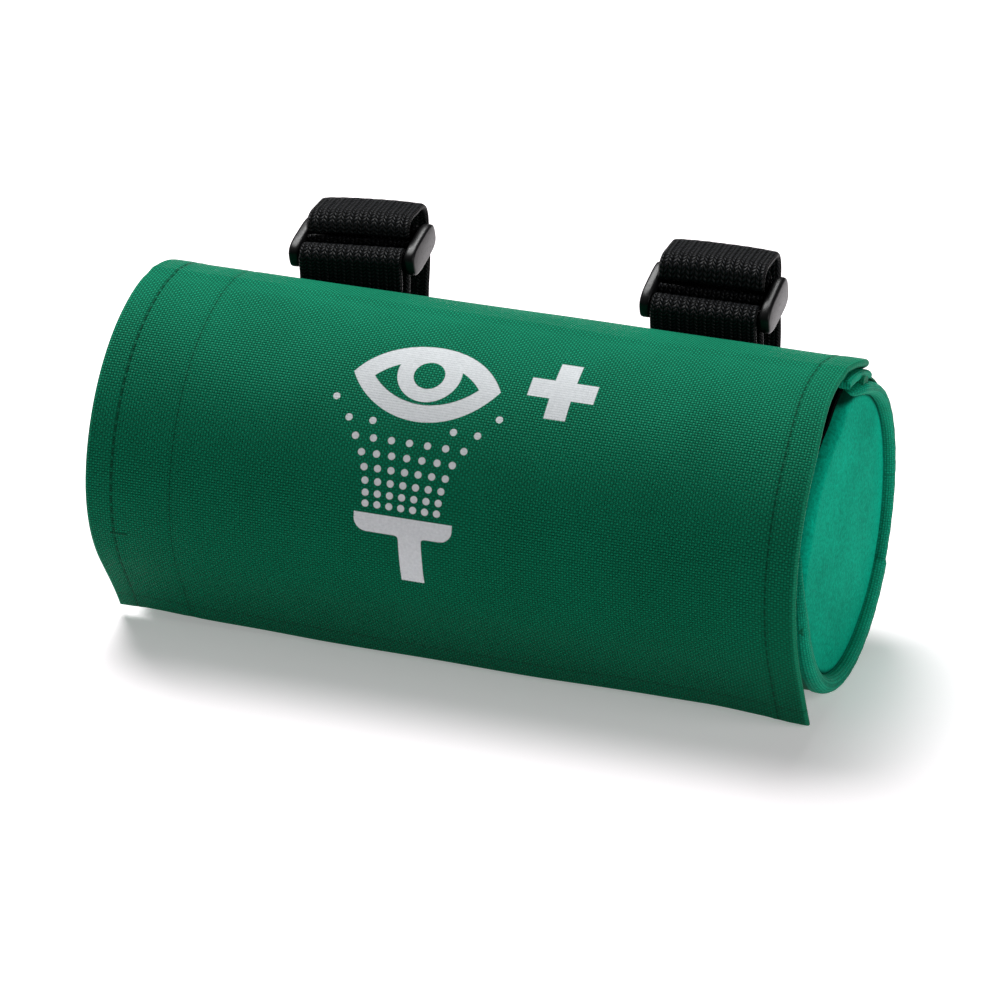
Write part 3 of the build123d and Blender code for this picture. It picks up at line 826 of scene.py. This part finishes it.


# the end cloth carries a painted shade line in the crease at its edge
endFelt = feltMaterial("endCloth", ((0.0010, 0.130, 0.076), (0.0030, 0.530, 0.338)), 1.15, 0.7,
                       endShape["creaseShadeRadius"])
for name, side in (("right", 1), ("left", -1)):
    lowCover, highCover = nodeBox(f"{name}_end_cover")
    lowLining, highLining = nodeBox(f"{name}_end_lining")
    reachOut = abs(highCover[0] - middleX) if side > 0 else abs(lowCover[0] - middleX)
    reachIn = abs(lowLining[0] - middleX) if side > 0 else abs(highLining[0] - middleX)
    liningTop = reachIn + endShape["liningThick"]
    pad = endPad(f"{name}EndPad", side, [f"{name}_end_cover", f"{name}_end_padding"], endFelt, liningTop + 0.05,
                 reachOut + 0.1 - rimShape["inset"])
    back = endPad(f"{name}EndLining", side, [f"{name}_end_lining"], liningCloth, reachIn, liningTop, padded=False)
print("ends made")

# The folded end of the rim's tape, and the fastener: loop strips on the pouch, hook strips on the flap.
tabShape = {"radii": (38.7, 41.2), "angles": (60.0, 89.0), "leftOut": 2.2, "rightIn": 1.0}
tapeLow, tapeHigh = nodeBox("rim_tape_end")
tabEnds = (tapeLow[0] - middleX - tabShape["leftOut"], tapeHigh[0] - middleX - tabShape["rightIn"])
tab = wallPiece("rimTapeEnd", tabShape["radii"], tabShape["angles"], tabEnds, rimTape, ["rim_tape_end"], 0.1, 12, 0.8)
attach(tab, "pouch")

stripAngles = (193.5, 206.5)
loopTape = hookMaterial("loopTape", 0.7, ((0.006, 0.0062, 0.0065), (0.020, 0.0205, 0.021)))
hookTape = hookMaterial("hookTape", 1.1, ((0.004, 0.0042, 0.0045), (0.016, 0.0165, 0.017)))
stripKinds = [("loop", (39.92, 40.5), "pouch", loopTape), ("hook", (40.8, 41.48), "flap_4", hookTape)]
for name in ("left", "right"):
    for kind, radii, body, material in stripKinds:
        low, high = nodeBox(f"{name}_{kind}_strip")
        strip = wallPiece(f"{name}{kind.title()}Tape", radii, stripAngles, (low[0] - middleX, high[0] - middleX),
                          material, [f"{name}_{kind}_strip"], 0.0, 60, 0.8)
        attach(strip, body)
print("fastener made")


# belt loops

loopShape = {
    "width": 28.0, "thick": 1.6, "top": 52.9, "corner": 3.6, "splitDrop": 5.4, "gap": 0.8,
    "barAngle": 59.2, "barHeight": 5.8, "rise": 10.0, "wrap": 2.8, "pitch": 7.4, "backPitch": 5.6, "backGap": 2.7,
    "seatRadius": 39.9, "seatAngle": -28.0, "footAngle": 38.0, "tail": 5.0, "tabSink": 1.6, "cup": 0.25, "droop": 0.8,
}
buckleShape = {
    "railReach": 2.3, "railHeight": 7.4, "railWidth": 2.9, "clear": 0.3, "barRadius": 1.7, "barInto": 1.2,
    "rim": ((0.0, 0.9), (0.12, 0.45), (0.35, 0.15), (0.9, 0.0)),    # depth into a rail, and how far it shrinks there
}
loopLean = {
    "left": {"lean": 0.077, "shift": 0.3, "up": 0.9, "roll": 0.2},
    "right": {"lean": 0.011, "shift": -0.5, "up": -0.3, "roll": 2.6},
}
frontBar = np.array(turn(loopShape["barAngle"])) * (wrapRadius + loopShape["barHeight"])


def barPlace(distance):
    # Centre of a cross bar, as y and z, at a distance from the front bar along the buckle.
    return frontBar + distance * np.array(turn(loopShape["rise"]))


def roundCorners(corners, radius, step=0.5):
    # A path of straight runs through the corners, each turned on an arc, as evenly spaced points in y and z.
    corners = [np.array(c, float) for c in corners]
    points = [corners[0]]
    for before, corner, after in zip(corners[:-2], corners[1:-1], corners[2:]):
        a, b = before - corner, after - corner
        a, b = a / np.linalg.norm(a), b / np.linalg.norm(b)
        angle = math.acos(np.clip(a @ b, -1, 1))
        back = radius / math.tan(angle / 2)
        centre = corner + (a + b) / np.linalg.norm(a + b) * radius / math.sin(angle / 2)
        first, last = corner + a * back, corner + b * back
        u, v = first - centre, last - centre
        sweep = math.atan2(u[0] * v[1] - u[1] * v[0], u @ v)
        turns = np.linspace(0, sweep, 9)
        across = np.array([-u[1], u[0]])
        points += [centre + u * math.cos(k) + across * math.sin(k) for k in turns]
    return spaced(np.array(points + [corners[-1]]), step)


def spaced(points, step):
    # The same path with its points evenly spaced.
    lengths = np.concatenate([[0], np.cumsum(np.linalg.norm(np.diff(points, axis=0), axis=1))])
    keep = np.concatenate([[True], np.diff(lengths) > 1e-6])
    points, lengths = points[keep], lengths[keep]
    stations = np.linspace(0, lengths[-1], max(int(lengths[-1] / step), 3))
    return np.stack([np.interp(stations, lengths, points[:, k]) for k in (0, 1)], -1)


def arcPoints(centre, radius, first, last):
    # Points on an arc in y and z, from one angle to another.
    cos, sin = turn(np.linspace(first, last, max(int(abs(last - first) / 4), 3)))
    return np.stack([centre[0] + radius * cos, centre[1] + radius * sin], -1)


def leaned(name, centre, x, y, z):
    # Each loop sits in its own way: above the pouch it leans and shifts sideways, and its roll stands higher.
    own = loopLean[name]
    raised = smooth(z, 30.0, 42.0)
    sideways = raised * (own["shift"] - own["lean"] * (z - 38.0))
    higher = raised * (own["up"] + own["lean"] * (x - centre)) + own["roll"] * smooth(z, 44.5, 51.0)
    return np.stack(np.broadcast_arrays(x + sideways, y, z + higher), -1)


def strap(name, path, middle, material, nodes, body, cupped=0.0, droop=0.0):
    # Webbing along a path in y and z: a flat section with round sides. It is a little cupped across its width,
    # its sides droop where it stands free, and its weave ripples its faces.
    width, half = loopShape["width"], loopShape["thick"] / 2
    owner = name.split("Loop")[0]
    x = edgeSpaced(-width / 2, width / 2, 56, half)
    run = np.gradient(path, axis=0)
    run /= np.linalg.norm(run, axis=1)[:, None]
    out = np.stack([-run[:, 1], run[:, 0]], -1)
    lengths = np.concatenate([[0], np.cumsum(np.linalg.norm(np.diff(path, axis=0), axis=1))])
    gridS, gridX = np.meshgrid(lengths, x, indexing="ij")
    ends = edgeProfile(np.minimum(gridS, lengths[-1] - gridS), half * 0.8) / (half * 0.8)
    thin = np.minimum(edgeProfile(np.minimum(gridX - x[0], x[-1] - gridX), half), half * np.maximum(ends, 0.05))
    fromMiddle = np.abs(gridX / (width / 2))
    bow = -cupped * fromMiddle ** 2
    raised = smooth(path[:, 1], 30.0, 50.0)[:, None] * smooth(lengths, lengths[-1], lengths[-1] - 6.0)[:, None]
    lift = -raised * droop * fromMiddle ** 2.5
    ripple = 0.05 * np.sin(gridX * 2 * math.pi / 3.5) * np.sin(gridS * 2 * math.pi / 2.1)
    outY, outZ = out[:, None, 0], out[:, None, 1]
    middleY, middleZ = path[:, None, 0] + outY * bow, path[:, None, 1] + outZ * bow + lift
    middleLine = leaned(owner, middle, gridX + middle, middleY, middleZ)
    normal = np.stack(np.broadcast_arrays(0 * gridX, outY, outZ), -1)
    piece = clothSheet(name, middleLine, normal, thin + ripple * (thin > 0.5 * half), gridX, gridS, material)
    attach(piece, body)
    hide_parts(*nodes)


webbing = webbingMaterial()
sewnWebbing = webbingMaterial("sewnWebbing", True)
webThick, wrap = loopShape["thick"], loopShape["wrap"]
webCentre = loopShape["seatRadius"] + webThick / 2
topZ, splitZ = loopShape["top"] - webThick / 2, loopShape["top"] - loopShape["splitDrop"]
midBar = barPlace(loopShape["pitch"])
downY = midBar[0] - wrap
railEnd = barPlace(loopShape["pitch"] + loopShape["backPitch"] + buckleShape["railReach"])
backY = railEnd[0] + loopShape["backGap"] + webThick / 2
seat = arcPoints((0, 0), webCentre, loopShape["seatAngle"], 0)
longRun = roundCorners([seat[-1], (backY, topZ), (downY, topZ), (downY, splitZ)], loopShape["corner"])
longPath = spaced(np.concatenate([seat, longRun]), 0.5)
endPath = spaced(np.concatenate([[(downY, splitZ - loopShape["gap"])], arcPoints(midBar, wrap, 180, 360),
                                 [(midBar[0] + wrap, midBar[1] + loopShape["tail"])]]), 0.4)
rearY, tabY = frontBar[0] + wrap, frontBar[0] - wrap
footEnd = math.degrees(math.acos(rearY / webCentre))
tabLow = math.sqrt(wrapRadius ** 2 - (tabY - webThick / 2) ** 2) - loopShape["tabSink"]
tabFoot = arcPoints((0, 0), webCentre, loopShape["footAngle"], footEnd)
tabPath = spaced(np.concatenate([tabFoot, [(rearY, frontBar[1])], arcPoints(frontBar, wrap, 0, 180),
                                 [(tabY, tabLow)]]), 0.4)
loopCentres = {}
for name in ("left", "right"):
    low, high = nodeBox(f"{name}_loop_web")
    centre = loopCentres[name] = (low[0] + high[0]) / 2 - middleX
    strap(f"{name}LoopBand", longPath, centre, sewnWebbing, [f"{name}_loop_web"], "pouch",
          loopShape["cup"], loopShape["droop"])
    strap(f"{name}LoopThread", endPath, centre, webbing, [f"{name}_loop_web_end"], f"{name}_buckle")
    strap(f"{name}LoopTab", tabPath, centre, webbing, [f"{name}_loop_tab"], "pouch")
print("belt loops made")


def buckleMesh(name, centre, material):
    # A ladder lock in one mesh: two rails and three round bars, all lying along the buckle's rise. A rail's
    # outline is a rounded box, which shrinks towards each of its faces, so its rims are round.
    shape = buckleShape
    rise = np.array(turn(loopShape["rise"]))
    over = np.array([-rise[1], rise[0]])
    backBar = loopShape["pitch"] + loopShape["backPitch"]
    railHalf = backBar / 2 + shape["railReach"]
    railMiddle = barPlace(backBar / 2)
    inside = loopShape["width"] / 2 + shape["clear"]
    rim = shape["rim"]
    layers = np.array(rim + tuple((shape["railWidth"] - depth, shrink) for depth, shrink in rim[::-1]))
    railTurn = np.linspace(0, 2 * math.pi, 48, endpoint=False)
    gridLayer, gridTurn = np.meshgrid(np.arange(len(layers)), railTurn, indexing="ij")
    depth, shrink = layers[gridLayer, 0], layers[gridLayer, 1]
    cos, sin = np.cos(gridTurn), np.sin(gridTurn)
    along = (railHalf - shrink) * np.sign(cos) * np.abs(cos) ** 0.55
    up = (shape["railHeight"] / 2 - shrink * 0.7) * np.sign(sin) * np.abs(sin) ** 0.62
    y = railMiddle[0] + along * rise[0] + up * over[0]
    z = railMiddle[1] + along * rise[1] + up * over[1]
    allPoints, allFaces, offset = [], [], 0
    for side in (-1, 1):
        allPoints.append(np.stack([centre + side * (inside + depth), y, z], -1).reshape(-1, 3))
        allFaces += cappedTube(len(layers), len(railTurn), offset)
        offset += gridTurn.size
    barTurn = np.linspace(0, 2 * math.pi, 28, endpoint=False)
    barX = np.linspace(-inside - shape["barInto"], inside + shape["barInto"], 12)
    gridX, gridTurn = np.meshgrid(barX, barTurn, indexing="ij")
    for distance in (0.0, loopShape["pitch"], backBar):
        y, z = barPlace(distance)[:, None, None] + shape["barRadius"] * np.stack([np.cos(gridTurn), np.sin(gridTurn)])
        allPoints.append(np.stack([gridX + centre, y, z], -1).reshape(-1, 3))
        allFaces += cappedTube(len(barX), len(barTurn), offset)
        offset += gridTurn.size
    points = leaned(name, centre, *np.concatenate(allPoints).T)
    piece = makePiece(f"{name}LadderLock", place(*points.T), allFaces, material, sharp=40)
    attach(piece, f"{name}_buckle")
    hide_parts(f"{name}_buckle")


blackPlastic = plasticMaterial("bucklePlastic", ((0.004, 0.0042, 0.0046), (0.009, 0.0093, 0.0097)), 0.30, 0.03, 0.16,
                               Specular_IOR_Level=0.24)
for name, centre in loopCentres.items():
    buckleMesh(name, centre, blackPlastic)
print("buckles made")


# bottle

def setMaterial(node, material):
    # Gives a CAD node its one material.
    obj = frame["nodes"][node]
    obj.data.materials.clear()
    obj.data.materials.append(material)


def fluidMaterial():
    # Clear saline seen through its bottle: faintly blue, with soft swirls of a lighter blue.
    paint = Paint("clearFluid")
    vector = paint.objectPlace()
    swirl = paint.noise(vector, 0.08, 3.0)
    colour = paint.mix(swirl, (0.62, 0.78, 0.80), (0.74, 0.86, 0.87))
    return paint.finish(colour, 0.06 + swirl * 0.05, swirl, 0.05, 0.0001, Alpha=0.55)


# Each node's material: its name, two colours, roughness, grain and scratches.
bottleLook = {
    "bottle_shell": ("bottlePlastic", ((0.62, 0.66, 0.67), (0.74, 0.77, 0.77)), 0.30, 0.03, 0.15),
    "blank_label": ("labelPaper", ((0.010, 0.27, 0.15), (0.016, 0.33, 0.19)), 0.5, 0.05, 0.1),
    "eye_cup": ("cupPlastic", ((0.55, 0.62, 0.64), (0.68, 0.74, 0.75)), 0.26, 0.02, 0.12),
    "spray_nozzle": ("nozzlePlastic", ((0.60, 0.62, 0.63), (0.72, 0.73, 0.74)), 0.35, 0.03, 0.1),
    "dust_cap": ("capPlastic", ((0.010, 0.20, 0.11), (0.015, 0.27, 0.155)), 0.32, 0.04, 0.15),
}
for node, look in bottleLook.items():
    setMaterial(node, plasticMaterial(*look))
setMaterial("eyewash_fluid", fluidMaterial())
setMaterial("mouth_seal", plasticMaterial("sealFoil", ((0.55, 0.56, 0.57), (0.75, 0.76, 0.77)), 0.22, 0.12, 0.3,
                                          Metallic=0.9))
print("bottle finished")


# floor, lights and camera

stageLook = {"floor": (0.93, 0.88, 0.905), "glow": 0.30, "world": 0.05, "lampTarget": (0, 0, 0.03)}
lampLook = {
    "keyLight": {"spot": (-0.43, 0.54, 1.20), "size": 0.92, "power": 29.5},
    "sideLight": {"spot": (1.15, -0.25, 0.55), "size": 0.6, "power": 4.3},
    "frontLight": {"spot": (-0.5, -1.1, 0.9), "size": 0.9, "power": 0.12},
}
bpy.ops.mesh.primitive_plane_add(size=8.0, location=(0, 0, 0))
ground = bpy.context.object
ground.name = "paleFloor"
floorPaint = Paint("floorPaper")
floorVector = floorPaint.objectPlace()
tone = stageLook["floor"]
paper = floorPaint.mix(floorPaint.noise(floorVector, 0.4, 2.0), tone, tuple(part + 0.01 for part in tone))
ground.data.materials.append(floorPaint.finish(paper, 0.9, Emission_Color=(1.0, 1.0, 1.0),
                                               Emission_Strength=stageLook["glow"]))


def areaLight(name, spot, size, power):
    # A square soft box at spot that faces the object.
    data = bpy.data.lights.new(name, "AREA")
    data.shape, data.size, data.energy = "SQUARE", size, power
    lamp = bpy.data.objects.new(name, data)
    bpy.context.scene.collection.objects.link(lamp)
    aim(lamp, spot, stageLook["lampTarget"])


def aim(obj, spot, target):
    # Puts obj at spot with its -Z side towards target and its top upwards.
    back = np.array(spot, float) - np.array(target, float)
    back /= np.linalg.norm(back)
    right = np.cross([0, 0, 1], back)
    right /= np.linalg.norm(right)
    up = np.cross(back, right)
    matrix = np.eye(4)
    matrix[:3, 0], matrix[:3, 1], matrix[:3, 2], matrix[:3, 3] = right, up, back, spot
    obj.matrix_world = Matrix([tuple(row) for row in matrix])


for name, lamp in lampLook.items():
    areaLight(name, **lamp)
world = bpy.data.worlds.new("paleWorld")
world.use_nodes = True
background = world.node_tree.nodes["Background"].inputs
background["Color"].default_value = (1, 1, 1, 1)
background["Strength"].default_value = stageLook["world"]
bpy.context.scene.world = world
bpy.context.scene.view_settings.view_transform = "Standard"

cameraSet = {"azimuth": 19.35, "elevation": 26.0, "distance": 1.546, "lens": 219.7, "targetX": -1.0, "targetZ": -5.4}
azimuthCos, azimuthSin = turn(cameraSet["azimuth"])
elevationCos, elevationSin = turn(cameraSet["elevation"])
target = place(cameraSet["targetX"], 0.0, cameraSet["targetZ"]).ravel()
towards = np.array([azimuthSin * elevationCos, -azimuthCos * elevationCos, elevationSin])
cameraData = bpy.data.cameras.new("viewCamera")
cameraData.lens, cameraData.sensor_width = cameraSet["lens"], 36.0
cameraData.clip_start, cameraData.clip_end = 0.05, 50
camera = bpy.data.objects.new("viewCamera", cameraData)
bpy.context.scene.collection.objects.link(camera)
aim(camera, target + cameraSet["distance"] * towards, target)
bpy.context.scene.camera = camera

print("stage and camera made")
